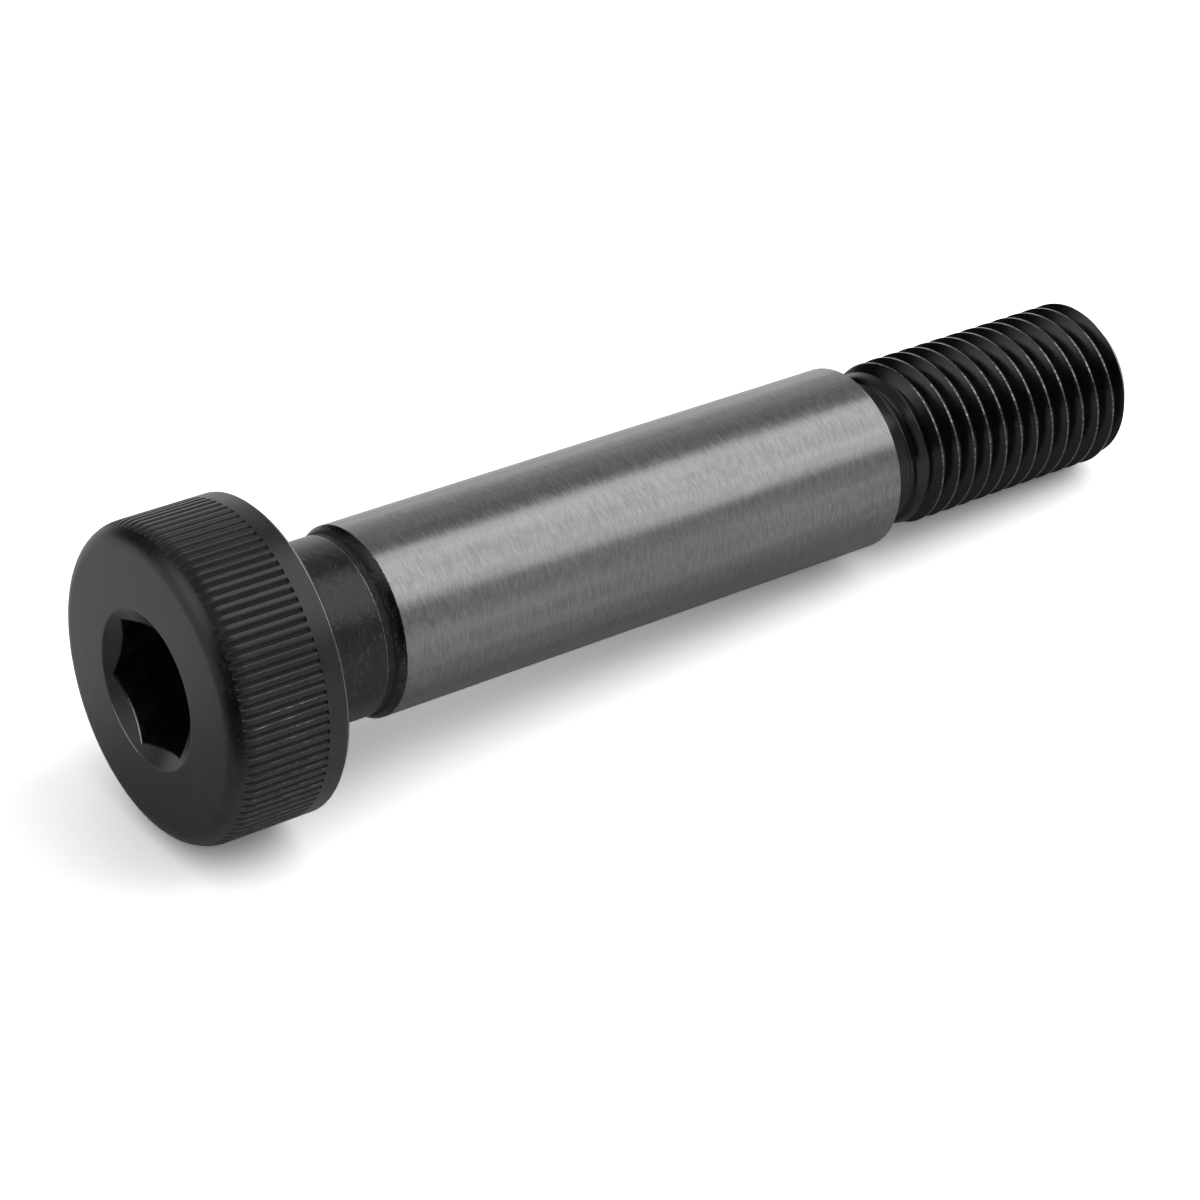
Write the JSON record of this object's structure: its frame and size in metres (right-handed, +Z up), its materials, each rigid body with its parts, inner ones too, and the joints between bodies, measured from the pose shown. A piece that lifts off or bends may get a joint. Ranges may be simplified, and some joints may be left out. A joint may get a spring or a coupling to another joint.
{
  "type": "shoulder bolt",
  "caption": "Socket head shoulder bolt with a knurled black head, a ground steel shoulder and a coarse black thread.",
  "frame": {"origin": "on the surface the bolt lies on, under the middle of its length", "axes": "+X from the head to the thread along the surface, +Z up; the bolt's own axis falls 3.9 degrees towards the thread, because the head is wider"},
  "size_m": [0.1356, 0.036, 0.0367],
  "materials": {
    "black_oxide": "satin black oxide on turned steel",
    "ground_steel": "ground, with fine scratches round the axis"
  },
  "bodies": {
    "root": {"shoulder_bolt": "black_oxide"}
  },
  "joints": []
}
